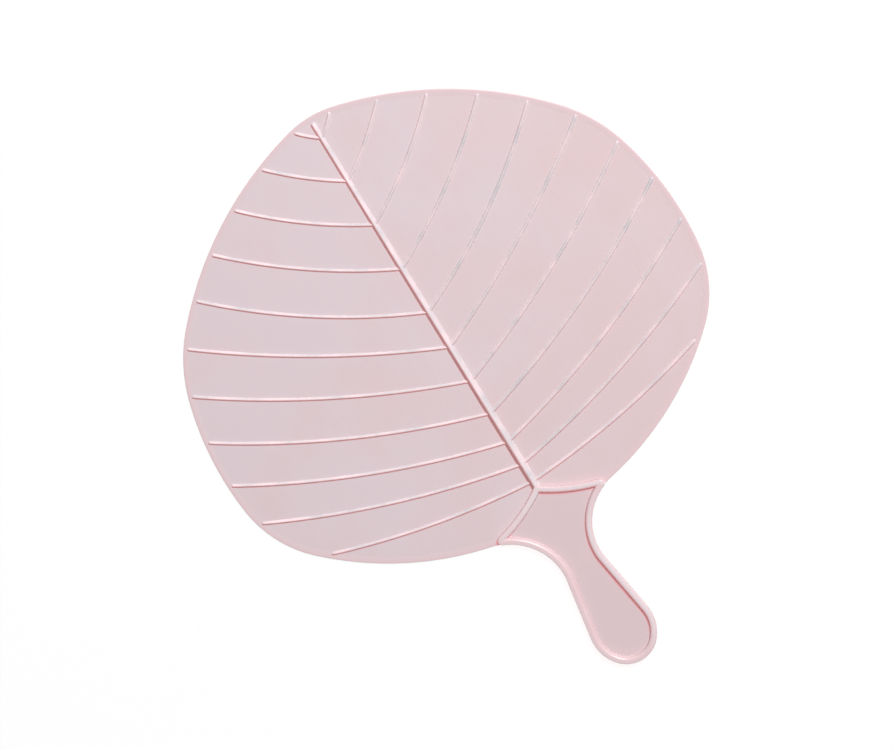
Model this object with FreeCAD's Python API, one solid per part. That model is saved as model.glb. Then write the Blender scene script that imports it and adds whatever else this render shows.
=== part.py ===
# Leaf-shaped moulded hand fan, millimetres.
# X runs across the blade, Y along the midrib towards the leaf tip, Z up out of the ribbed front face.
# The flat back lies on Z = 0 and the origin is the middle of the length there.
# A heading is the direction of travel down the right-hand edge, in degrees:
# 0 points to +X at the tip, 90 points down the side, 180 points to -X at the base.
import FreeCAD, Part
import math
import os

# lengths along the midrib, from the tip to the end of the handle
tip_to_widest = 152.6
widest_to_base = 112.2
base_to_neck = 29.2
neck_to_grip = 44.5
grip_to_end = 21.5

# blade outline
blade_width = 300.0
tip_radius = 61.0
tip_heading = 13.9            # where the tip arc passes into the flank
flank_heading = 47.4          # where the flank passes into the upper shoulder
upper_shoulder_radius = 91.0
side_heading = 73.2           # where the upper shoulder passes into the side
cheek_heading = 95.9          # where the side passes into the lower cheek
base_heading = 136.3          # where the cheek passes into the base

# handle outline
neck_width = 24.8
waist_radius = 25.0           # below the neck, down to the straight flank
grip_width = 37.8
end_heading = 130.0           # where the grip's side passes into its end arc

# yoke that closes the top of the handle
yoke_rise = 22.5              # from the base of the leaf outline up to the yoke's outer point
yoke_span = 87.2              # between the two corners, before they are rounded
yoke_radius = 100.0
yoke_corner_radius = 2.7

# bead round the handle, and the floor inside it
bead_width = 4.0
bead_height = 4.2
handle_web_thickness = 1.8

# blade web and its border
web_thickness = 0.9
border_width = 4.0
border_thickness = 1.3
border_slope_width = 1.6
border_edge_chamfer = 0.4

# midrib: a drafted bar with bevelled shoulders, from tip to foot
midrib_tip_gap = 3.5
midrib_tip_width = 3.2
midrib_foot_width = 5.2
midrib_tip_height = 1.3       # heights are above the web
midrib_foot_height = 2.7

# side veins: distance of each root from the leaf tip, rise above square at the root, and arc radius
vein_root_from_tip = [13.5, 41.5, 70.0, 99.0, 127.5, 150.5, 173.0, 194.5, 213.5, 228.5, 240.0]
vein_root_rise = [34.0, 32.0, 28.5, 26.5, 24.0, 23.5, 20.0, 16.5, 13.5, 10.0, 3.5]
vein_radius = [60.0, 205.0, 270.0, 350.0, 385.0, 610.0, 595.0, 555.0, 560.0, 560.0, 490.0]
vein_width = 2.2
vein_height = 1.0
vein_end_gap = 2.0            # from the rounded end of a vein to the leaf edge

# shape of every rib's section
rib_side_share = 0.45         # share of the height that is a straight drafted side
rib_draft = 12.0              # degrees
rib_bevel = 45.0              # slope of the shoulders, in degrees
bead_bevel_share = 0.3        # bevel on the bead's top corners, as a share of its width
midrib_bury_share = 0.25      # how far the midrib's foot runs into the yoke, as a share of it

same_place = 1e-6
smooth_join = 5.0             # walls that meet at less than this angle, in degrees, run on smoothly

leaf_length = tip_to_widest + widest_to_base
overall_length = leaf_length + base_to_neck + neck_to_grip + grip_to_end
tip_y = overall_length / 2
widest_y = tip_y - tip_to_widest
base_y = tip_y - leaf_length
neck_y = base_y - base_to_neck
grip_y = neck_y - neck_to_grip
end_y = grip_y - grip_to_end
up = FreeCAD.Vector(0, 0, 1)
centre = FreeCAD.Vector(0, 0, 0)
across = FreeCAD.Vector(1, 0, 0)


def sin(degrees):
    return math.sin(math.radians(degrees))


def cos(degrees):
    return math.cos(math.radians(degrees))


def tan(degrees):
    return math.tan(math.radians(degrees))


def vec(x, y, z=0.0):
    return FreeCAD.Vector(x, y, z)


def solve_pair(a, b, c, d, right_1, right_2):
    """The two radii p, q with a p + b q = right_1 and c p + d q = right_2."""
    det = a * d - b * c
    return (right_1 * d - b * right_2) / det, (a * right_2 - c * right_1) / det


def run_across(start, stop):
    return sin(stop) - sin(start)


def run_down(start, stop):
    return cos(start) - cos(stop)


def upper_radii():
    """Flank and side radii that bring the outline to its full width at the widest point."""
    fixed_across = tip_radius * run_across(0, tip_heading)
    fixed_across += upper_shoulder_radius * run_across(flank_heading, side_heading)
    fixed_down = tip_radius * run_down(0, tip_heading)
    fixed_down += upper_shoulder_radius * run_down(flank_heading, side_heading)
    return solve_pair(run_across(tip_heading, flank_heading), run_across(side_heading, 90),
                      run_down(tip_heading, flank_heading), run_down(side_heading, 90),
                      blade_width / 2 - fixed_across, tip_to_widest - fixed_down)


def lower_radii(side_radius):
    """Cheek and base radii that bring the outline back to the midrib, square to it."""
    fixed_across = side_radius * run_across(90, cheek_heading)
    fixed_down = side_radius * run_down(90, cheek_heading)
    return solve_pair(run_across(cheek_heading, base_heading), run_across(base_heading, 180),
                      run_down(cheek_heading, base_heading), run_down(base_heading, 180),
                      -blade_width / 2 - fixed_across, widest_to_base - fixed_down)


def grip_radii():
    """Grip side and end radii that close the handle on the midrib line."""
    return solve_pair(run_across(90, end_heading), run_across(end_heading, 180),
                      run_down(90, end_heading), run_down(end_heading, 180),
                      -grip_width / 2, grip_to_end)


flank_radius, side_radius = upper_radii()
cheek_radius, base_radius = lower_radii(side_radius)
grip_radius, end_radius = grip_radii()

# The neck arc touches the base arc from outside and is vertical at the neck.
base_centre_y = base_y + base_radius
neck_drop = base_centre_y - neck_y
neck_half = neck_width / 2
neck_radius = (neck_half ** 2 + neck_drop ** 2 - base_radius ** 2) / (2 * (base_radius - neck_half))
neck_heading = 180 - math.degrees(math.asin((neck_half + neck_radius) / (base_radius + neck_radius)))

# The straight flank is the common tangent of the waist arc and the grip arc.
waist_step = grip_width / 2 - neck_half
waist_sum = waist_radius + grip_radius
waist_reach = math.hypot(waist_sum - waist_step, neck_to_grip)
waist_slope = math.degrees(math.atan2(neck_to_grip, waist_sum - waist_step))
waist_turn = waist_slope - math.degrees(math.acos(waist_sum / waist_reach))


class HalfOutline:
    """The right-hand edge as tangent arcs and lines, travelled downwards, moved inwards by inset."""

    def __init__(self, inset):
        self.inset = inset
        self.x = 0.0
        self.y = tip_y
        self.heading = 0.0
        self.edges = []

    def inset_point(self, x, y, heading):
        return vec(x - self.inset * sin(heading), y - self.inset * cos(heading))

    def arc(self, radius, heading):
        """Turn to the given heading. A turn to a smaller heading is a hollow arc."""
        bend = 1 if heading > self.heading else -1
        centre_x = self.x - bend * radius * sin(self.heading)
        centre_y = self.y - bend * radius * cos(self.heading)
        points = []
        for angle in (self.heading, (self.heading + heading) / 2, heading):
            x = centre_x + bend * radius * sin(angle)
            y = centre_y + bend * radius * cos(angle)
            points.append(self.inset_point(x, y, angle))
        self.edges.append(Part.Arc(*points).toShape())
        self.x = x
        self.y = y
        self.heading = heading

    def line(self, x, y):
        start = self.inset_point(self.x, self.y, self.heading)
        stop = self.inset_point(x, y, self.heading)
        self.edges.append(Part.LineSegment(start, stop).toShape())
        self.x = x
        self.y = y

    def blade_sides(self):
        self.arc(tip_radius, tip_heading)
        self.arc(flank_radius, flank_heading)
        self.arc(upper_shoulder_radius, side_heading)
        self.arc(side_radius, cheek_heading)
        self.arc(cheek_radius, base_heading)

    def face(self):
        """The closed face from this half and its mirror image."""
        half = Part.Wire(self.edges)
        other = half.mirror(centre, across)
        return Part.Face(Part.Wire(Part.__sortEdges__(half.Edges + other.Edges)))


def leaf_face(inset):
    """The blade outline, closed across the foot of the leaf."""
    outline = HalfOutline(inset)
    outline.blade_sides()
    outline.arc(base_radius, 180)
    return outline.face()


def fan_face(inset):
    """The whole silhouette: blade, neck and grip."""
    outline = HalfOutline(inset)
    outline.blade_sides()
    outline.arc(base_radius, neck_heading)
    outline.arc(neck_radius, 90)
    outline.arc(waist_radius, 90 - waist_turn)
    flank_foot_x = grip_width / 2 - grip_radius * (1 - cos(waist_turn))
    outline.line(flank_foot_x, grip_y + grip_radius * sin(waist_turn))
    outline.arc(grip_radius, end_heading)
    outline.arc(end_radius, 180)
    return outline.face()


def prism(face, bottom, top):
    moved = face.translated(vec(0, 0, bottom))
    return moved.extrude(vec(0, 0, top - bottom))


# The yoke's outer edge is an arc from its point on the midrib to a corner on the base arc.
yoke_point_y = base_y + yoke_rise
yoke_corner_x = yoke_span / 2
yoke_corner_y = base_centre_y - math.sqrt(base_radius ** 2 - yoke_corner_x ** 2)
yoke_chord = math.hypot(yoke_corner_x, yoke_point_y - yoke_corner_y)
yoke_fall = math.degrees(math.atan2(yoke_point_y - yoke_corner_y, yoke_corner_x))
yoke_half_angle = math.degrees(math.asin(yoke_chord / 2 / yoke_radius))
yoke_centre_x = yoke_radius * sin(yoke_fall + yoke_half_angle)
yoke_centre_y = yoke_point_y + yoke_radius * cos(yoke_fall + yoke_half_angle)


def yoke_arc_y(x, radius):
    return yoke_centre_y - math.sqrt(radius ** 2 - (x - yoke_centre_x) ** 2)


def below_yoke(inset):
    """Everything on the handle side of the yoke's outer edge, moved towards the handle by inset."""
    radius = yoke_radius + inset
    far_x = yoke_centre_x
    point = vec(0, yoke_arc_y(0, radius))
    middle = vec(yoke_corner_x / 2, yoke_arc_y(yoke_corner_x / 2, radius))
    far = vec(far_x, yoke_centre_y - radius)
    low = vec(far_x, end_y - bead_width)
    right = [Part.Arc(point, middle, far).toShape(), Part.LineSegment(far, low).toShape()]
    right.append(Part.LineSegment(low, vec(0, low.y)).toShape())
    half = Part.Wire(right)
    other = half.mirror(centre, across)
    return Part.Face(Part.Wire(Part.__sortEdges__(half.Edges + other.Edges)))


def sharp_upright_edges(solid):
    """Vertical edges where two walls meet at an angle."""
    found = []
    for edge in solid.Edges:
        start = edge.Vertexes[0].Point
        stop = edge.Vertexes[-1].Point
        if math.hypot(start.x - stop.x, start.y - stop.y) > same_place:
            continue
        walls = [face for face in solid.Faces if any(edge.isSame(other) for other in face.Edges)]
        normals = []
        for wall in walls:
            u, v = wall.Surface.parameter(start)
            normals.append(wall.normalAt(u, v))
        if len(normals) == 2 and abs(normals[0].dot(normals[1])) < cos(smooth_join):
            found.append(edge)
    return found


def handle_blank(height):
    """The handle with its yoke, as a plain plate."""
    return prism(fan_face(0).common(below_yoke(0)).Faces[0], 0, height)


def pocket_plan():
    return fan_face(bead_width).common(below_yoke(bead_width)).Faces[0]


def pocket(bottom, top):
    """The hollow inside the bead."""
    return prism(pocket_plan(), bottom, top)


def top_edges(solid, height):
    found = []
    for edge in solid.Edges:
        if all(abs(vertex.Z - height) < same_place for vertex in edge.Vertexes):
            found.append(edge)
    return found


def bead_ring():
    """The closed bead: both yoke arms and the rim of the handle, with bevelled top corners.

    Its corners are rounded above the border. Below that they run out to the leaf edge.
    """
    blank = handle_blank(bead_height)
    bead = blank.makeFillet(yoke_corner_radius, sharp_upright_edges(blank))
    bead = bead.cut(pocket(0, bead_height))
    bead = bead.makeChamfer(bead_bevel_share * bead_width, top_edges(bead, bead_height))
    foot = handle_blank(border_thickness).cut(pocket(0, border_thickness))
    return bead.fuse(foot).removeSplitter()


def pocket_corner():
    """Where the inner edges of the yoke arm and of the rim meet, on the right."""
    corners = [vertex.Point for vertex in pocket_plan().Vertexes if vertex.Y > neck_y]
    return max(corners, key=lambda point: point.x)


def yoke_side(side):
    """A block that holds one yoke arm: above the mitre through the corner of the handle."""
    inner = pocket_corner()
    outer = vec(yoke_corner_x, yoke_corner_y)
    reach = outer + (outer - inner)
    top = vec(reach.x, yoke_point_y + bead_width)
    corners = [vec(0, inner.y), inner, reach, top, vec(0, top.y)]
    block = prism(polygon_face(corners), 0, bead_height)
    if side < 0:
        return block.mirror(centre, across)
    return block


def rib_profile(width, height):
    """Right half of a rib's section, as offset and height: edge of the foot, shoulder, edge of the top."""
    side_height = rib_side_share * height
    shoulder = width / 2 - side_height * tan(rib_draft)
    top = shoulder - (height - side_height) / tan(rib_bevel)
    return [(width / 2, 0.0), (shoulder, side_height), (top, height)]


def rib_corners(width, height, point, side):
    """Corners of the section of a rib that stands on the web at point, with its width along side."""
    foot = vec(point.x, point.y, web_thickness)
    profile = rib_profile(width, height)
    right = [foot + side * offset + up * rise for offset, rise in profile]
    left = [foot - side * offset + up * rise for offset, rise in profile]
    return right + left[::-1]


def polygon_face(corners):
    return Part.Face(Part.makePolygon(corners + corners[:1]))


def rib_end(width, height, point, side):
    """Round end of a rib: half of its section turned half round, from side through square to it."""
    foot = vec(point.x, point.y, web_thickness)
    half = rib_corners(width, height, point, side)[:3]
    return polygon_face([foot] + half + [foot + up * height]).revolve(foot, up, 180)


def midrib():
    """Tapered bar from its round end near the leaf tip into the point of the yoke."""
    tip = vec(0, tip_y - midrib_tip_gap - midrib_tip_width / 2)
    foot_y = yoke_arc_y(midrib_foot_width / 2, yoke_radius) - midrib_bury_share * bead_width
    near = rib_corners(midrib_tip_width, midrib_tip_height, tip, across)
    far = rib_corners(midrib_foot_width, midrib_foot_height, vec(0, foot_y), across)
    faces = [polygon_face(near), polygon_face(far)]
    for index in range(len(near)):
        faces.append(polygon_face([near[index - 1], near[index], far[index], far[index - 1]]))
    bar = Part.Solid(Part.Shell(faces))
    return bar.fuse(rib_end(midrib_tip_width, midrib_tip_height, tip, across)).removeSplitter()


def vein(index):
    """One right-hand side vein: an arc from the midrib line to a round end short of the leaf edge."""
    radius = vein_radius[index]
    rise = vein_root_rise[index]
    root = vec(0, tip_y - vein_root_from_tip[index])
    turn_centre = root + vec(-radius * sin(rise), radius * cos(rise))
    inwards = vec(-sin(rise), cos(rise))
    longest_turn = math.degrees(blade_width / radius)
    path = Part.makeCircle(radius, turn_centre, up, rise - 90, rise - 90 + longest_turn)
    inside = leaf_face(vein_end_gap + vein_width / 2).common(path)
    turn = math.degrees(inside.Edges[0].Length / radius)
    section = polygon_face(rib_corners(vein_width, vein_height, root, inwards))
    rib = section.revolve(turn_centre, up, turn)
    end = turn_centre + vec(radius * sin(rise + turn), -radius * cos(rise + turn))
    side = vec(sin(rise + turn), -cos(rise + turn))
    return rib.fuse(rib_end(vein_width, vein_height, end, side)).removeSplitter()


def border():
    """Thicker band round the leaf: bevelled outer corner, and an inner slope down to the web."""
    plate = prism(leaf_face(0), 0, border_thickness)
    plate = plate.makeChamfer(border_edge_chamfer, top_edges(plate, border_thickness))
    low = leaf_face(border_width).OuterWire.translated(vec(0, 0, web_thickness))
    high = leaf_face(border_width - border_slope_width).OuterWire.translated(vec(0, 0, border_thickness))
    dish = Part.makeLoft([low, high], True, True)
    return plate.cut(dish).cut(prism(leaf_face(border_width), 0, web_thickness))


def save(node, shape):
    """Write a node, which has to be one sound solid."""
    solids = shape.Solids
    print(f"{node:16s} solids {len(solids)}  volume {shape.Volume:10.2f} mm3  valid {shape.isValid()}")
    if len(solids) != 1 or not solids[0].isValid():
        raise RuntimeError(f"{node} isn't one sound solid")
    solids[0].exportStep(f"parts/{node}.step")


def main():
    os.makedirs("parts", exist_ok=True)
    ring = bead_ring()
    blank = handle_blank(bead_height)
    rim = ring
    for name, side in (("right", 1), ("left", -1)):
        save(f"yoke_{name}", ring.common(yoke_side(side)))
        rim = rim.cut(yoke_side(side))
    save("handle_rim", rim)
    save("handle_web", pocket(0, handle_web_thickness))
    edge = border().cut(blank)
    save("edge_rim", edge)
    save("leaf_panel", prism(leaf_face(border_width), 0, web_thickness).cut(blank))
    bar = midrib().cut(ring)
    save("midrib", bar)
    for index in range(len(vein_radius)):
        right = vein(index).cut(bar).cut(edge).cut(ring)
        save(f"vein_right_{index + 1:02d}", right)
        save(f"vein_left_{index + 1:02d}", right.mirror(centre, across))


main()
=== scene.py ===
import math

import bmesh
import bpy
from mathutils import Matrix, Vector


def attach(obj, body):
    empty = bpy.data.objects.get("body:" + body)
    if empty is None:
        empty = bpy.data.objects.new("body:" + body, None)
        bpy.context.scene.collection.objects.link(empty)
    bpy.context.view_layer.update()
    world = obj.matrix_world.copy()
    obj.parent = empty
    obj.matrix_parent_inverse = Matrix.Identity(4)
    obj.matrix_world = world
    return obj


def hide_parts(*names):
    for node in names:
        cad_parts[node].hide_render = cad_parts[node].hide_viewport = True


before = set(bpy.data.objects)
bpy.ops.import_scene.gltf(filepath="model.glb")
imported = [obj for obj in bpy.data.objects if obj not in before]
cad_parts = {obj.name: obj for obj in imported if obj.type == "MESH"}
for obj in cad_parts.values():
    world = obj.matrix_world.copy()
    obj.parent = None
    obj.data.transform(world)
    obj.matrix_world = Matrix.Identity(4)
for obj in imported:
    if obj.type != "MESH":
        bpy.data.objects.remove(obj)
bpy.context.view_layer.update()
mm = 0.001
mergeGap = 0.002 * mm
print("frame loaded")


# the right-hand edge as tangent arcs, in mm, from the leaf tip down. Heading 0 is +X, 90 is down.
fanLine = {
    "tipY": 180.0,
    # radius and the heading where each arc ends
    "leafArcs": [(61.0, 13.9), (216.9305, 47.4), (91.0, 73.2), (179.1392, 95.9), (68.2631, 136.3),
                 (185.721, 167.7682)],
    "neckRadius": 34.1924,
    "neckCentre": (46.5924, -114.0),
    "underBead": 160.0,        # heading on the neck arc where the leaf edge ends under the bead
    "waistRadius": 25.0,
    "waistTurn": 9.0908,
    "gripRadius": 23.7717,
    "gripHalf": 18.9,
    "gripY": -158.5,
    "endHeading": 130.0,
    "endRadius": 17.4121,
    "yokeRadius": 100.0,
    "yokeCentre": (57.6701, 19.3955),
    "cornerRadius": 2.7,
    "leafStep": 1.6,           # longest chord of the leaf edge
    "underSteps": 5,
    "yokeSteps": 26,
    "cornerSteps": 10,
    "neckSteps": 30,
    "waistSteps": 4,
    "shaftSteps": 10,
    "gripSteps": 16,
    "endSteps": 12,
}


def sind(a):
    return math.sin(math.radians(a))


def cosd(a):
    return math.cos(math.radians(a))


def ring(centre, radius, heading):
    return (centre[0] + radius * sind(heading), centre[1] + radius * cosd(heading))


def leafLine(inset):
    # right half of the leaf edge moved in by inset, from the tip to where it ends under the bead
    x, y, heading, points = 0.0, fanLine["tipY"], 0.0, []
    for radius, until in fanLine["leafArcs"]:
        centre = (x - radius * sind(heading), y - radius * cosd(heading))
        count = max(2, math.ceil(math.radians(until - heading) * radius / fanLine["leafStep"]))
        for i in range(count):
            a = heading + (until - heading) * i / count
            points.append(ring(centre, radius - inset, a))
        x, y = ring(centre, radius, until)
        heading = until
    count = fanLine["underSteps"]
    for i in range(count + 1):
        a = heading + (fanLine["underBead"] - heading) * i / count
        points.append(ring(fanLine["neckCentre"], -(fanLine["neckRadius"] + inset), a))
    return points


def crossing(c1, r1, c2, r2):
    # the left-hand point where two circles meet
    dx, dy = c2[0] - c1[0], c2[1] - c1[1]
    d = math.hypot(dx, dy)
    a = (d * d + r1 * r1 - r2 * r2) / (2 * d)
    h = math.sqrt(max(0.0, r1 * r1 - a * a))
    mx, my = c1[0] + a * dx / d, c1[1] + a * dy / d
    return min((mx + h * dy / d, my - h * dx / d), (mx - h * dy / d, my + h * dx / d))


def angleOf(centre, p):
    return math.atan2(p[1] - centre[1], p[0] - centre[0])


def arcPoints(centre, radius, start, stop, count, last=False):
    points = []
    for i in range(count + (1 if last else 0)):
        a = start + (stop - start) * i / count
        points.append((centre[0] + radius * math.cos(a), centre[1] + radius * math.sin(a)))
    return points


def beadLine(inset):
    # right half of the handle bead moved in by inset, from the yoke's point to the end of the grip
    yokeC, yokeR = fanLine["yokeCentre"], fanLine["yokeRadius"]
    neckC, neckR = fanLine["neckCentre"], fanLine["neckRadius"]
    r = fanLine["cornerRadius"]
    turn = max(inset, r)
    corner = crossing(yokeC, yokeR + turn, neckC, neckR + turn)
    startY = yokeC[1] - math.sqrt((yokeR + inset) ** 2 - yokeC[0] ** 2)
    fromYoke = angleOf(yokeC, (0.0, startY))
    toYoke = angleOf(yokeC, corner)
    fromNeck = angleOf(neckC, corner)
    points = arcPoints(yokeC, yokeR + inset, fromYoke, toYoke, fanLine["yokeSteps"])
    left = max(r - inset, 0.0)
    first = math.atan2(yokeC[1] - corner[1], yokeC[0] - corner[0])
    second = math.atan2(neckC[1] - corner[1], neckC[0] - corner[0])
    points += arcPoints(corner, left, first, second, fanLine["cornerSteps"])
    points += arcPoints(neckC, neckR + inset, fromNeck, math.pi, fanLine["neckSteps"])
    waistR = fanLine["waistRadius"]
    waistC = (neckC[0] - neckR + waistR, neckC[1])
    turned = math.radians(fanLine["waistTurn"])
    points += arcPoints(waistC, waistR + inset, math.pi, math.pi + turned, fanLine["waistSteps"])
    gripC = (fanLine["gripHalf"] - fanLine["gripRadius"], fanLine["gripY"])
    gripR = fanLine["gripRadius"] - inset
    x0, y0 = waistC[0] - (waistR + inset) * math.cos(turned), waistC[1] - (waistR + inset) * math.sin(turned)
    x1, y1 = gripC[0] + gripR * math.cos(turned), gripC[1] + gripR * math.sin(turned)
    count = fanLine["shaftSteps"]
    points += [(x0 + (x1 - x0) * i / count, y0 + (y1 - y0) * i / count) for i in range(count)]
    side = math.radians(90 - fanLine["endHeading"])
    points += arcPoints(gripC, gripR, turned, side, fanLine["gripSteps"])
    centre = (gripC[0] + (fanLine["gripRadius"] - fanLine["endRadius"]) * math.cos(side),
              gripC[1] + (fanLine["gripRadius"] - fanLine["endRadius"]) * math.sin(side))
    points += arcPoints(centre, fanLine["endRadius"] - inset, side, -math.pi / 2, fanLine["endSteps"], True)
    return points


def finishMesh(name, mesh, nodes, material, smoothAngle):
    bm = bmesh.new()
    bm.from_mesh(mesh)
    bmesh.ops.remove_doubles(bm, verts=bm.verts, dist=mergeGap)
    bmesh.ops.recalc_face_normals(bm, faces=bm.faces)
    bm.to_mesh(mesh)
    bm.free()
    mesh.shade_smooth()
    mesh.set_sharp_from_angle(angle=math.radians(smoothAngle))
    piece = bpy.data.objects.new(name, mesh)
    bpy.context.scene.collection.objects.link(piece)
    piece.data.materials.append(material)
    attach(piece, "root")
    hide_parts(*nodes)
    return piece


def gridMesh(name, columns, walls, closedAlong):
    # columns of (x, y, z) in mm, each a closed loop; walls holds the painted glow and shade tint of each point of
    # a loop
    high = len(columns[0])
    verts = [Vector(p) * mm for column in columns for p in column]
    faces = []
    last = len(columns) if closedAlong else len(columns) - 1
    for i in range(last):
        a, b = i * high, ((i + 1) % len(columns)) * high
        for j in range(high):
            k = (j + 1) % high
            faces.append((a + j, b + j, b + k, a + k))
    if not closedAlong:
        faces.append(tuple(range(high)))
        faces.append(tuple(reversed(range(len(verts) - high, len(verts)))))
    mesh = bpy.data.meshes.new(name)
    mesh.from_pydata(verts, [], faces)
    tint = mesh.attributes.new("glowAndShadeTint", "FLOAT", "POINT")
    tint.data.foreach_set("value", [w for _ in columns for w in walls])
    return mesh


plastic = {
    "paintedShadeColour": (0.900, 0.420, 0.420, 1),        # painted shade: walls that face away from the window, the side the light comes from
    "paintedThroughLightColour": (0.960, 0.830, 0.855, 1),     # painted light: outer walls there are paler, for light coming through the plastic
    "passColour": (0.960, 0.420, 0.440, 1),        # light that has passed a rib or the bead
    "windowSide": (0.829, 0.560),                  # direction that the light comes from, in plan
    "toneRange": (0.35, 0.65),
    "indexOfRefraction": 1.49,
    "bumpDepth": 0.02,
}

mouldedFlow = {
    "driftWay": (0.85, -0.52, 0.0),                # the way that Drift raises the tone across the object
    "stretch": (1.0, 0.12, 1.0),
    "cloudShare": 0.75,
    "flowShare": 0.25,
    "glossShare": 0.6,
    "glossBase": 0.2,
    "grainShare": 0.35,
    # name, lowest, highest and default value
    "inputs": [("Cloud Scale", 1, 400, 30), ("Flow Scale", 1, 2000, 300), ("Grain Scale", 100, 9000, 2600),
               ("Drift", 0, 5, 1)],
}


def node(tree, kind, x, y, **values):
    made = tree.nodes.new(kind)
    made.location = (x, y)
    for key, value in values.items():
        setattr(made, key, value)
    return made


def makeFlowGroup():
    # cloudy tone and faint flow marks of moulded plastic, and a tone that drifts across the object along driftWay
    tree = bpy.data.node_groups.new("mouldedFlow", "ShaderNodeTree")
    for name, low, high, value in mouldedFlow["inputs"]:
        made = tree.interface.new_socket(name, in_out="INPUT", socket_type="NodeSocketFloat")
        made.min_value, made.max_value, made.default_value = low, high, value
    for name in ("Tone", "Gloss", "Height"):
        tree.interface.new_socket(name, in_out="OUTPUT", socket_type="NodeSocketFloat")
    ins = node(tree, "NodeGroupInput", -900, 0)
    outs = node(tree, "NodeGroupOutput", 500, 0)
    coords = node(tree, "ShaderNodeTexCoord", -900, 300)
    stretch = node(tree, "ShaderNodeMapping", -700, 150)
    stretch.inputs["Scale"].default_value = mouldedFlow["stretch"]
    cloud = node(tree, "ShaderNodeTexNoise", -400, 350)
    cloud.inputs["Detail"].default_value = 3
    flow = node(tree, "ShaderNodeTexNoise", -400, 80)
    flow.inputs["Detail"].default_value = 4
    grain = node(tree, "ShaderNodeTexNoise", -400, -200)
    grain.inputs["Detail"].default_value = 2
    toneMix = node(tree, "ShaderNodeMath", -100, 300, operation="MULTIPLY_ADD")
    toneMix.inputs[1].default_value = mouldedFlow["cloudShare"]
    along = node(tree, "ShaderNodeVectorMath", -400, 600, operation="DOT_PRODUCT")
    along.inputs[1].default_value = mouldedFlow["driftWay"]
    drifted = node(tree, "ShaderNodeMath", 150, 400, operation="MULTIPLY_ADD")
    flowPart = node(tree, "ShaderNodeMath", -100, 100, operation="MULTIPLY")
    flowPart.inputs[1].default_value = mouldedFlow["flowShare"]
    glossMix = node(tree, "ShaderNodeMath", 150, 0, operation="MULTIPLY_ADD")
    glossMix.inputs[1].default_value = mouldedFlow["glossShare"]
    glossMix.inputs[2].default_value = mouldedFlow["glossBase"]
    heightMix = node(tree, "ShaderNodeMath", 150, -200, operation="MULTIPLY_ADD")
    heightMix.inputs[1].default_value = mouldedFlow["grainShare"]
    link = tree.links.new
    link(coords.outputs["Object"], cloud.inputs["Vector"])
    link(coords.outputs["Object"], stretch.inputs["Vector"])
    link(stretch.outputs["Vector"], flow.inputs["Vector"])
    link(coords.outputs["Object"], grain.inputs["Vector"])
    link(ins.outputs["Cloud Scale"], cloud.inputs["Scale"])
    link(ins.outputs["Flow Scale"], flow.inputs["Scale"])
    link(ins.outputs["Grain Scale"], grain.inputs["Scale"])
    link(flow.outputs["Fac"], flowPart.inputs[0])
    link(cloud.outputs["Fac"], toneMix.inputs[0])
    link(flowPart.outputs[0], toneMix.inputs[2])
    link(flow.outputs["Fac"], glossMix.inputs[0])
    link(grain.outputs["Fac"], heightMix.inputs[0])
    link(flow.outputs["Fac"], heightMix.inputs[2])
    link(coords.outputs["Object"], along.inputs[0])
    link(along.outputs["Value"], drifted.inputs[0])
    link(ins.outputs["Drift"], drifted.inputs[1])
    link(toneMix.outputs[0], drifted.inputs[2])
    link(drifted.outputs[0], outs.inputs["Tone"])
    link(glossMix.outputs[0], outs.inputs["Gloss"])
    link(heightMix.outputs[0], outs.inputs["Height"])
    return tree


def makeFarSideGroup():
    # painted shade mask, fixed to the object: 1 where a wall turns away from the window side, where the light
    # comes from
    tree = bpy.data.node_groups.new("paintedShadeSide", "ShaderNodeTree")
    for name, value in (("Starts", 0.05), ("Full", 0.75)):
        made = tree.interface.new_socket(name, in_out="INPUT", socket_type="NodeSocketFloat")
        made.min_value, made.max_value, made.default_value = -1, 1, value
    tree.interface.new_socket("Far", in_out="OUTPUT", socket_type="NodeSocketFloat")
    ins = node(tree, "NodeGroupInput", -400, -200)
    outs = node(tree, "NodeGroupOutput", 400, 0)
    surface = node(tree, "ShaderNodeNewGeometry", -400, 100)
    turned = node(tree, "ShaderNodeVectorMath", -200, 100, operation="DOT_PRODUCT")
    turned.inputs[1].default_value = (-plastic["windowSide"][0], -plastic["windowSide"][1], 0.0)
    depth = node(tree, "ShaderNodeMapRange", 100, 0, interpolation_type="SMOOTHSTEP")
    link = tree.links.new
    link(surface.outputs["Normal"], turned.inputs[0])
    link(turned.outputs["Value"], depth.inputs["Value"])
    link(ins.outputs["Starts"], depth.inputs["From Min"])
    link(ins.outputs["Full"], depth.inputs["From Max"])
    link(depth.outputs["Result"], outs.inputs["Far"])
    return tree


flowGroup = makeFlowGroup()
farSideGroup = makeFarSideGroup()


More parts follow.
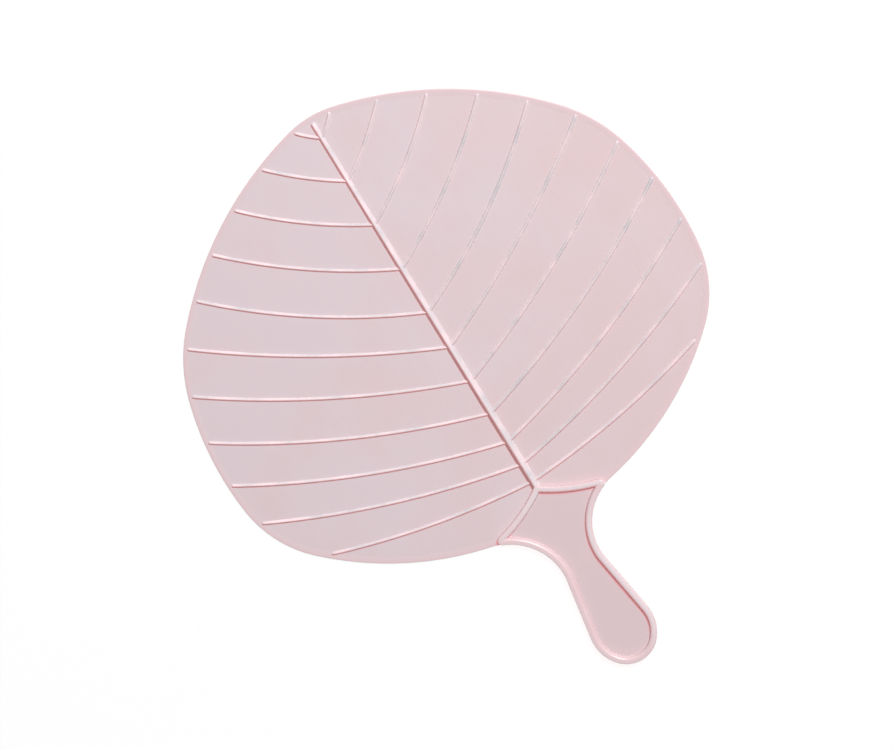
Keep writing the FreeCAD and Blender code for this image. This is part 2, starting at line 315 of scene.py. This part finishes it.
def makePlastic(name, values):
    mat = bpy.data.materials.new(name)
    mat.use_nodes = True
    tree = mat.node_tree
    tree.nodes.clear()
    link = tree.links.new
    out = node(tree, "ShaderNodeOutputMaterial", 600, 0)
    shader = node(tree, "ShaderNodeBsdfPrincipled", 300, 0)
    flow = node(tree, "ShaderNodeGroup", -700, 0, node_tree=flowGroup)
    flow.inputs["Cloud Scale"].default_value = values["cloudScale"]
    flow.inputs["Flow Scale"].default_value = values["flowScale"]
    flow.inputs["Grain Scale"].default_value = values["grainScale"]
    flow.inputs["Drift"].default_value = values["drift"]
    tone = node(tree, "ShaderNodeMapRange", -480, 200)
    tone.inputs["From Min"].default_value, tone.inputs["From Max"].default_value = plastic["toneRange"]
    rim = node(tree, "ShaderNodeAttribute", -700, 420, attribute_name="paintedLightTint")
    tint = node(tree, "ShaderNodeMath", -300, 330, operation="MULTIPLY_ADD", use_clamp=True)
    tint.inputs[1].default_value = values["toneShare"]
    colour = node(tree, "ShaderNodeMix", -120, 200, data_type="RGBA")
    colour.inputs["A"].default_value = values["colour"]
    colour.inputs["B"].default_value = values["tintColour"]
    edge = node(tree, "ShaderNodeAttribute", -700, 620, attribute_name="glowAndShadeTint")
    glowAndShadeMask = edge.outputs["Fac"]
    # painted shade on walls turned away from the light, and painted light through the plastic on the outer walls
    # there
    if values["paintedShadeSide"]:
        walls = node(tree, "ShaderNodeGroup", -700, 820, node_tree=farSideGroup)
        walls.inputs["Starts"].default_value, walls.inputs["Full"].default_value = values["paintedShadeSide"]
        deeper = node(tree, "ShaderNodeMath", -120, 620, operation="MULTIPLY")
        outer = node(tree, "ShaderNodeMath", -480, 620, operation="SUBTRACT")
        outer.inputs[0].default_value = 1.0
        glowing = node(tree, "ShaderNodeMath", -300, 720, operation="MULTIPLY")
        through = node(tree, "ShaderNodeMix", -300, 520, data_type="RGBA")
        through.inputs["A"].default_value = values["colour"]
        through.inputs["B"].default_value = plastic["paintedThroughLightColour"]
        link(walls.outputs["Far"], deeper.inputs[0])
        link(edge.outputs["Fac"], deeper.inputs[1])
        link(edge.outputs["Fac"], outer.inputs[1])
        link(outer.outputs["Value"], glowing.inputs[0])
        link(walls.outputs["Far"], glowing.inputs[1])
        link(glowing.outputs["Value"], through.inputs["Factor"])
        link(through.outputs["Result"], colour.inputs["A"])
        glowAndShadeMask = deeper.outputs["Value"]
    deepen = node(tree, "ShaderNodeMix", 80, 200, data_type="RGBA")
    deepen.inputs["B"].default_value = values["deep"]
    gloss = node(tree, "ShaderNodeMapRange", -260, -100)
    gloss.inputs["To Min"].default_value = values["roughLow"]
    gloss.inputs["To Max"].default_value = values["roughHigh"]
    bump = node(tree, "ShaderNodeBump", 0, -300)
    bump.inputs["Strength"].default_value = values["bump"]
    bump.inputs["Distance"].default_value = plastic["bumpDepth"] * mm
    link(flow.outputs["Tone"], tone.inputs["Value"])
    link(tone.outputs["Result"], tint.inputs[0])
    link(rim.outputs["Fac"], tint.inputs[2])
    link(tint.outputs["Value"], colour.inputs["Factor"])
    link(colour.outputs["Result"], deepen.inputs["A"])
    link(glowAndShadeMask, deepen.inputs["Factor"])
    link(deepen.outputs["Result"], shader.inputs["Base Color"])
    link(flow.outputs["Gloss"], gloss.inputs["Value"])
    link(gloss.outputs["Result"], shader.inputs["Roughness"])
    link(flow.outputs["Height"], bump.inputs["Height"])
    link(bump.outputs["Normal"], shader.inputs["Normal"])
    shader.inputs["IOR"].default_value = plastic["indexOfRefraction"]
    if values["shadowColour"]:
        # red light passes the plastic, so the shadow of a rib or of the bead is rose
        path = node(tree, "ShaderNodeLightPath", 300, 400)
        passing = node(tree, "ShaderNodeBsdfTransparent", 300, 100)
        passing.inputs["Color"].default_value = values["shadowColour"]
        mixer = node(tree, "ShaderNodeMixShader", 600, 100)
        out.location = (800, 100)
        link(path.outputs["Is Shadow Ray"], mixer.inputs["Fac"])
        link(shader.outputs["BSDF"], mixer.inputs[1])
        link(passing.outputs["BSDF"], mixer.inputs[2])
        link(mixer.outputs["Shader"], out.inputs["Surface"])
    else:
        link(shader.outputs["BSDF"], out.inputs["Surface"])
    return mat


# colour runs to tintColour with the cloudy tone times toneShare, and with the bead's painted light tint; deep is
# mixed in by the mesh's glow and shade tint: a painted glow at the leaf's edge, painted shade on rib and bead
# walls turned away from the light
webPlastic = {
    "colour": (0.645, 0.540, 0.570, 1),
    "tintColour": (0.655, 0.505, 0.520, 1),
    "deep": (0.690, 0.512, 0.536, 1),
    "toneShare": 1.0,
    "cloudScale": 18,
    "flowScale": 420,
    "grainScale": 2600,
    "drift": 1.2,
    "roughLow": 0.34,
    "roughHigh": 0.50,
    "bump": 0.25,
    "paintedShadeSide": None,
    "shadowColour": None,
}

# painted light: the rib colour is lighter and pinker than the web's, for light passing through the thick ribs;
# deep is painted shade on rib walls turned away from the light
ribPlastic = {
    "colour": (0.840, 0.660, 0.686, 1),
    "tintColour": (0.570, 0.540, 0.565, 1),
    "deep": plastic["paintedShadeColour"],
    "toneShare": 1.0,
    "cloudScale": 60,
    "flowScale": 500,
    "grainScale": 2600,
    "drift": 0,
    "roughLow": 0.28,
    "roughHigh": 0.38,
    "bump": 0.12,
    "paintedShadeSide": (-0.05, 0.55),
    "shadowColour": plastic["passColour"],
}

# painted light: tintColour is the paler crest and inner wall on the side facing the light; deep is painted shade
# on walls turned away from it
beadPlastic = {
    "colour": (0.7075, 0.5210, 0.5400, 1),
    "tintColour": (0.740, 0.640, 0.670, 1),
    "deep": plastic["paintedShadeColour"],
    "toneShare": 0.15,
    "cloudScale": 60,
    "flowScale": 500,
    "grainScale": 2600,
    "drift": 0,
    "roughLow": 0.22,
    "roughHigh": 0.32,
    "bump": 0.12,
    "paintedShadeSide": (-0.05, 0.60),
    "shadowColour": plastic["passColour"],
}

handlePlastic = {
    "colour": (0.632, 0.500, 0.525, 1),
    "tintColour": (0.655, 0.503, 0.522, 1),
    "deep": (0.632, 0.500, 0.525, 1),
    "toneShare": 1.0,
    "cloudScale": 30,
    "flowScale": 420,
    "grainScale": 2600,
    "drift": 0,
    "roughLow": 0.30,
    "roughHigh": 0.44,
    "bump": 0.20,
    "paintedShadeSide": None,
    "shadowColour": plastic["passColour"],
}

leafMaterial = makePlastic("pinkLeafPlastic", webPlastic)
ribMaterial = makePlastic("pinkRibPlastic", ribPlastic)
beadMaterial = makePlastic("pinkBeadPlastic", beadPlastic)
handleMaterial = makePlastic("pinkHandlePlastic", handlePlastic)
print("plastic made")


leafEdge = {
    "smoothAngle": 35,
    # inset from the edge, height, and the tint of the painted glow that makes the edge band pinker: up the outer
    # wall, over the round, down the soft slope
    "profile": [(0.03, 0.15, 1.0), (0.03, 0.80, 1.0), (0.06, 0.90, 1.0), (0.14, 0.97, 1.0), (0.30, 1.005, 1.0),
                (0.60, 1.02, 0.95), (1.0, 1.02, 0.85), (1.6, 1.015, 0.65), (2.2, 0.99, 0.45), (2.9, 0.955, 0.25),
                (3.5, 0.92, 0.1), (4.0, 0.90, 0.0), (4.0, 0.0, 0.0), (0.20, 0.0, 1.0), (0.08, 0.08, 1.0)],
}


def makeLeafEdge():
    lines = [leafLine(inset) for inset, _, _ in leafEdge["profile"]]
    heights = [height for _, height, _ in leafEdge["profile"]]
    right = []
    for i in range(len(lines[0])):
        right.append([(line[i][0], line[i][1], z) for line, z in zip(lines, heights)])
    left = [[(-x, y, z) for x, y, z in column] for column in right[1:]]
    columns = left[::-1] + right
    mesh = gridMesh("leafEdge", columns, [tint for _, _, tint in leafEdge["profile"]], False)
    return finishMesh("leaf_edge_soft", mesh, ["edge_rim"], leafMaterial,
                      leafEdge["smoothAngle"])


makeLeafEdge()
print("leaf edge made")


leafWeb = {
    "thickness": 0.9,
    "inset": 4.0,
    "beadWidth": 4.0,
    "yokeReach": 60.0,         # how far out the yoke can cut the edge line
    "yokeSteps": 26,
    "smoothAngle": 35,
}


def makeLeafWeb():
    # flat web inside the edge, running under the yoke as far as the handle's pocket
    yokeC, yokeR = fanLine["yokeCentre"], fanLine["yokeRadius"] + leafWeb["beadWidth"]
    kept = []
    for x, y in leafLine(leafWeb["inset"]):
        under = yokeC[1] - math.sqrt(max(0.0, yokeR ** 2 - (x - yokeC[0]) ** 2))
        if y < under and x < leafWeb["yokeReach"] and y < 0:
            break
        kept.append((x, y))
    startX = kept[-1][0]
    for i in range(1, leafWeb["yokeSteps"] + 1):
        x = startX * (1 - i / leafWeb["yokeSteps"])
        kept.append((x, yokeC[1] - math.sqrt(yokeR ** 2 - (x - yokeC[0]) ** 2)))
    outline = kept + [(-x, y) for x, y in kept[1:-1]][::-1]
    count = len(outline)
    verts = [Vector((x, y, leafWeb["thickness"])) * mm for x, y in outline]
    verts += [Vector((x, y, 0.0)) * mm for x, y in outline]
    faces = [tuple(range(count)), tuple(reversed(range(count, 2 * count)))]
    for i in range(count):
        k = (i + 1) % count
        faces.append((i, i + count, k + count, k))
    mesh = bpy.data.meshes.new("leafWeb")
    mesh.from_pydata(verts, [], faces)
    return finishMesh("leaf_web_sheet", mesh, ["leaf_panel"], leafMaterial,
                      leafWeb["smoothAngle"])


makeLeafWeb()
print("leaf web made")


ribShape = {
    # offset from the middle and height, as shares of the half width and of the rib's height, and the share of
    # painted shade on a wall turned away from the light
    "profile": [(1.12, -0.06, 0.6), (1.06, 0.00, 0.8), (0.98, 0.05, 1.0), (0.89, 0.13, 1.0), (0.77, 0.28, 1.0),
                (0.63, 0.48, 1.0), (0.48, 0.69, 1.0), (0.33, 0.86, 1.0), (0.17, 0.965, 1.0), (0.0, 1.0, 1.0)],
    "endRings": 7,
    "smoothAngle": 50,
}


def ribHeight(share):
    # height share at a distance from the middle, read from the profile
    profile = ribShape["profile"][::-1]
    for (a, ha, _), (b, hb, _) in zip(profile, profile[1:]):
        if share <= b:
            return ha + (hb - ha) * (share - a) / (b - a)
    return profile[-1][1]


def ribColumns(path, endAt):
    # path gives (x, y), (sideX, sideY), half width and height at each step; the far end is domed
    columns = []
    foot = leafWeb["thickness"]
    profile = ribShape["profile"]
    for (x, y), (sx, sy), half, height in path:
        column = []
        for sign in (1, -1):
            for share, rise, _ in (profile if sign > 0 else profile[-2::-1]):
                column.append((x + sign * sx * share * half, y + sign * sy * share * half, foot + rise * height))
        columns.append(column)
    (x, y), (sx, sy), half, height = path[-1]
    dx, dy = endAt
    outer = profile[0][0]
    for ringIndex in range(1, ribShape["endRings"] + 1):
        turn = math.pi / 2 * ringIndex / ribShape["endRings"]
        forward = outer * math.sin(turn)
        narrow = math.cos(turn)
        column = []
        for sign in (1, -1):
            for share, _, _ in (profile if sign > 0 else profile[-2::-1]):
                across = share * narrow
                reach = math.hypot(across, forward)
                rise = ribHeight(min(reach, outer))
                column.append((x + (sign * sx * across + dx * forward) * half,
                               y + (sign * sy * across + dy * forward) * half, foot + rise * height))
        columns.append(column)
    return columns


# share of painted shade at each point of a rib's loop; the rest of a wall turned from the light takes the painted
# through-light
ribShadeTints = [tint for _, _, tint in ribShape["profile"]] + [tint for _, _, tint in ribShape["profile"][-2::-1]]

veins = {
    "tipY": 180.0,
    "fromTip": [13.5, 41.5, 70.0, 99.0, 127.5, 150.5, 173.0, 194.5, 213.5, 228.5, 240.0],
    "rise": [34.0, 32.0, 28.5, 26.5, 24.0, 23.5, 20.0, 16.5, 13.5, 10.0, 3.5],
    "radius": [60.0, 205.0, 270.0, 350.0, 385.0, 610.0, 595.0, 555.0, 560.0, 560.0, 490.0],
    "width": 2.2,
    "height": 0.9,
    "endGap": 2.0,
    "start": 0.8,              # how far from the midrib line the rib starts, hidden in the midrib
    "step": 2.5,
    "longest": 200.0,
    "searchSteps": 40,
    "limitFoot": (0.0, -80.0),    # closes the line that the veins end at, below the yoke
}


def insideLeaf(x, y, line):
    # is the point inside the closed line of the right half
    inside = False
    for (x1, y1), (x2, y2) in zip(line, line[1:] + line[:1]):
        if (y1 > y) != (y2 > y) and x < x1 + (y - y1) * (x2 - x1) / (y2 - y1):
            inside = not inside
    return inside


def makeVein(index, side):
    radius, rise = veins["radius"][index], veins["rise"][index]
    half = veins["width"] / 2
    limit = leafLine(veins["endGap"] + half) + [veins["limitFoot"]]
    rootY = veins["tipY"] - veins["fromTip"][index]
    cx, cy = -radius * sind(rise), rootY + radius * cosd(rise)

    def at(run):
        a = rise + math.degrees(run / radius)
        return (cx + radius * sind(a), cy - radius * cosd(a))

    low, high = 0.0, veins["longest"]
    for _ in range(veins["searchSteps"]):
        middle = (low + high) / 2
        if insideLeaf(*at(middle), limit):
            low = middle
        else:
            high = middle
    count = max(4, math.ceil(low / veins["step"]))
    path = []
    for i in range(count + 1):
        run = veins["start"] + (low - veins["start"]) * i / count
        a = rise + math.degrees(run / radius)
        x, y = at(run)
        path.append(((side * x, y), (side * sind(a), -cosd(a)), half, veins["height"]))
    a = rise + math.degrees(low / radius)
    columns = ribColumns(path, (side * cosd(a), sind(a)))
    name = "right" if side > 0 else "left"
    mesh = gridMesh("vein", columns, ribShadeTints, False)
    number = f"{index + 1:02d}"
    return finishMesh(f"vein_{name}_soft_{number}", mesh, [f"vein_{name}_{number}"], ribMaterial,
                      ribShape["smoothAngle"])


for veinIndex in range(len(veins["radius"])):
    makeVein(veinIndex, 1)
    makeVein(veinIndex, -1)
print("veins made")


midrib = {
    "tipY": 180.0,
    "tipGap": 3.5,
    "tipWidth": 3.2,
    "tipHeight": 1.3,
    "footY": -64.6,
    "footWidth": 5.2,
    "footHeight": 2.7,
    "steps": 60,
}


def makeMidrib():
    topY = midrib["tipY"] - midrib["tipGap"] - midrib["tipWidth"] / 2
    count = midrib["steps"]
    path = []
    for i in range(count + 1):
        share = i / count
        y = midrib["footY"] + (topY - midrib["footY"]) * share
        half = (midrib["footWidth"] + (midrib["tipWidth"] - midrib["footWidth"]) * share) / 2
        height = midrib["footHeight"] + (midrib["tipHeight"] - midrib["footHeight"]) * share
        path.append(((0.0, y), (1.0, 0.0), half, height))
    columns = ribColumns(path, (0.0, 1.0))
    mesh = gridMesh("midrib", columns, ribShadeTints, False)
    return finishMesh("midrib_soft", mesh, ["midrib"], ribMaterial, ribShape["smoothAngle"])


makeMidrib()
print("midrib made")


bead = {
    "underLeaf": 0.3,          # the bead's underside where the leaf runs below it
    "leafFoot": -86.0,         # on the neck, the leaf runs below the bead down to here
    "crest": 8,                # place in the profile of the point on the crest
    "tintStarts": -0.15,       # how far the outer wall faces the window side where the painted light on the rim starts
    "tintSpan": 0.95,
    "tintInset": 0.3,          # the outer round takes no painted light up to here
    "tintWidth": 1.0,
    "smoothAngle": 50,
    # inset from the outer line, height, and the share of painted shade on a wall turned away from the light
    "profile": [(0.0, 0.15, 0.0), (0.0, 3.30, 0.0), (0.04, 3.56, 0.0), (0.14, 3.78, 0.0), (0.32, 3.96, 0.0),
                (0.60, 4.08, 0.0), (1.00, 4.14, 0.0), (1.50, 4.16, 0.1), (2.00, 4.15, 0.3), (2.50, 4.10, 0.6),
                (2.95, 3.98, 0.8), (3.35, 3.76, 1.0), (3.65, 3.44, 1.0), (3.85, 3.04, 1.0), (3.95, 2.60, 1.0),
                (4.02, 2.10, 1.0), (4.10, 1.92, 1.0), (4.30, 1.78, 0.8), (4.30, 0.0, 0.0), (0.15, 0.0, 0.0)],
}


def makeBead():
    lines = [beadLine(inset) for inset, _, _ in bead["profile"]]
    count = len(lines[0])
    neckStart = fanLine["yokeSteps"] + fanLine["cornerSteps"]
    neckEnd = neckStart + fanLine["neckSteps"]
    right = []
    for i in range(count):
        overLeaf = i < neckStart or (i < neckEnd and lines[0][i][1] > bead["leafFoot"])
        column = []
        for line, (inset, z, _) in zip(lines, bead["profile"]):
            column.append((line[i][0], line[i][1], max(z, bead["underLeaf"]) if overLeaf else z))
        right.append(column)
    left = [[(-x, y, z) for x, y, z in column] for column in right[1:-1]]
    columns = right + left[::-1]
    mesh = gridMesh("bead", columns, [tint for _, _, tint in bead["profile"]], True)
    rims = []
    for column in columns:
        # painted light: the crest and the inner wall are painted paler where the outer wall faces the window
        # side, where the light comes from
        crest = column[bead["crest"]]
        x, y = column[0][0] - crest[0], column[0][1] - crest[1]
        facing = (x * plastic["windowSide"][0] + y * plastic["windowSide"][1]) / math.hypot(x, y)
        pale = min(max((facing - bead["tintStarts"]) / bead["tintSpan"], 0.0), 1.0)
        for inset, _, _ in bead["profile"]:
            rims.append(pale * min(max((inset - bead["tintInset"]) / bead["tintWidth"], 0.0), 1.0))
    mesh.attributes.new("paintedLightTint", "FLOAT", "POINT").data.foreach_set("value", rims)
    return finishMesh("handle_bead_soft", mesh, ["yoke_left", "yoke_right", "handle_rim"],
                      beadMaterial, bead["smoothAngle"])


makeBead()
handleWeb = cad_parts["handle_web"]
handleWeb.data.materials.clear()
handleWeb.data.materials.append(handleMaterial)
print("handle made")


# metres and degrees
studio = {
    "keyElevation": 52,
    "keyDistance": 3.4,
    "keySize": 1.4,
    "keyPower": 130,
    "white": (1, 1, 1, 1),
    "worldLevel": 0.22,
    "floorSize": 6.0,
    "floorDrop": 0.05 * mm,    # keeps the floor clear of the fan's flat back
    "floorColour": (0.96, 0.96, 0.96, 1),
    "floorGlow": 0.9,
    "lens": 125.3432,
    "sensorWidth": 36,
    "clip": (0.05, 20),
    "cameraPlace": (0.2152187, 0.2286688, 1.7178521),
    "cameraTurn": (-9.8372, 2.7225, -31.4424),
}


def seenMask(tree, x, y):
    # 1 for camera, glossy and transmission rays, which see plain white; 0 for the light on surfaces
    path = node(tree, "ShaderNodeLightPath", x, y)
    seen = node(tree, "ShaderNodeMath", x + 200, y, operation="MAXIMUM")
    shown = node(tree, "ShaderNodeMath", x + 380, y, operation="MAXIMUM")
    tree.links.new(path.outputs["Is Camera Ray"], seen.inputs[0])
    tree.links.new(path.outputs["Is Glossy Ray"], seen.inputs[1])
    tree.links.new(seen.outputs[0], shown.inputs[0])
    tree.links.new(path.outputs["Is Transmission Ray"], shown.inputs[1])
    return shown.outputs[0]


def makeFloor():
    half = studio["floorSize"] / 2
    z = -studio["floorDrop"]
    mesh = bpy.data.meshes.new("floor")
    mesh.from_pydata([(-half, -half, z), (half, -half, z), (half, half, z), (-half, half, z)], [], [(0, 1, 2, 3)])
    floor = bpy.data.objects.new("floor", mesh)
    bpy.context.scene.collection.objects.link(floor)
    mat = bpy.data.materials.new("paleFloor")
    mat.use_nodes = True
    tree = mat.node_tree
    tree.nodes.clear()
    out = node(tree, "ShaderNodeOutputMaterial", 600, 0)
    paper = node(tree, "ShaderNodeBsdfDiffuse", 0, 150)
    paper.inputs["Color"].default_value = studio["floorColour"]
    glow = node(tree, "ShaderNodeEmission", 0, -100)
    glow.inputs["Color"].default_value = studio["white"]
    part = node(tree, "ShaderNodeMath", 240, 300, operation="MULTIPLY")
    part.inputs[1].default_value = studio["floorGlow"]
    mixer = node(tree, "ShaderNodeMixShader", 400, 0)
    link = tree.links.new
    link(seenMask(tree, -300, 300), part.inputs[0])
    link(part.outputs[0], mixer.inputs["Fac"])
    link(paper.outputs["BSDF"], mixer.inputs[1])
    link(glow.outputs["Emission"], mixer.inputs[2])
    link(mixer.outputs["Shader"], out.inputs["Surface"])
    floor.data.materials.append(mat)


def makeWorld():
    world = bpy.data.worlds.new("paleRoom")
    bpy.context.scene.world = world
    world.use_nodes = True
    tree = world.node_tree
    tree.nodes.clear()
    out = node(tree, "ShaderNodeOutputWorld", 600, 0)
    fill = node(tree, "ShaderNodeBackground", 200, 100)
    fill.inputs["Strength"].default_value = studio["worldLevel"]
    fill.inputs["Color"].default_value = studio["white"]
    seen = node(tree, "ShaderNodeBackground", 200, -100)
    seen.inputs["Color"].default_value = studio["white"]
    mixer = node(tree, "ShaderNodeMixShader", 400, 0)
    link = tree.links.new
    link(seenMask(tree, -300, 300), mixer.inputs["Fac"])
    link(fill.outputs["Background"], mixer.inputs[1])
    link(seen.outputs["Background"], mixer.inputs[2])
    link(mixer.outputs["Shader"], out.inputs["Surface"])


def makeKeyLight():
    up = math.radians(studio["keyElevation"])
    sideX, sideY = plastic["windowSide"]
    direction = Vector((sideX * math.cos(up), sideY * math.cos(up), math.sin(up)))
    data = bpy.data.lights.new("key", "AREA")
    data.shape = "DISK"
    data.size = studio["keySize"]
    data.energy = studio["keyPower"]
    light = bpy.data.objects.new("key", data)
    bpy.context.scene.collection.objects.link(light)
    light.location = direction.normalized() * studio["keyDistance"]
    light.rotation_mode = "QUATERNION"
    light.rotation_quaternion = direction.to_track_quat("Z", "Y")


def makeCamera():
    data = bpy.data.cameras.new("camera")
    data.lens = studio["lens"]
    data.sensor_width = studio["sensorWidth"]
    data.clip_start, data.clip_end = studio["clip"]
    camera = bpy.data.objects.new("camera", data)
    bpy.context.scene.collection.objects.link(camera)
    camera.location = studio["cameraPlace"]
    camera.rotation_euler = [math.radians(a) for a in studio["cameraTurn"]]
    bpy.context.scene.camera = camera


makeFloor()
makeWorld()
makeKeyLight()
makeCamera()
bpy.context.scene.view_settings.view_transform = "Standard"
print("studio made")
